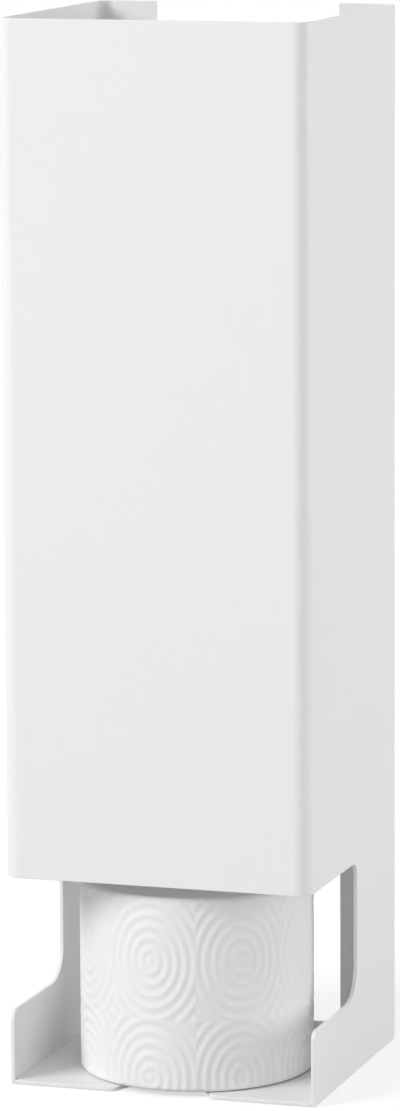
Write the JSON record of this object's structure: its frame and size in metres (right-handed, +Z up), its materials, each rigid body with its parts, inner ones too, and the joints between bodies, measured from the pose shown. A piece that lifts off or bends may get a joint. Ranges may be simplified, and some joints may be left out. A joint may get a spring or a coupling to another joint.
{
  "type": "toilet roll storage holder",
  "caption": "Wall-hung steel column, open at the top and rear, with a low open-fronted tray at its foot from which the lowest toilet roll is pulled out forwards.",
  "frame": {"origin": "centre of the underside of the column and its tray floor", "axes": "+Z up along the column, +Y towards the wall that it hangs on, -Y out of the open front, +X to the right seen from the front"},
  "size_m": [0.155, 0.193, 0.52],
  "materials": {
    "powder_coat": "fine matt white powder coat on sheet steel",
    "screw_steel": "bright zinc-plated steel",
    "tissue_paper": "soft white tissue with an embossed line pattern",
    "core_board": "raw grey-brown wound board"
  },
  "bodies": {
    "holder": {"column_shell": "powder_coat", "tray_floor": "powder_coat", "wall_screws": "screw_steel"},
    "roll": {"roll_paper": "tissue_paper", "roll_core": "core_board"}
  },
  "joints": [
    {"name": "roll_pull_out", "type": "slide", "parent": "holder", "child": "roll", "axis": [0, -1, 0], "range_m": [0, 0.12]}
  ]
}
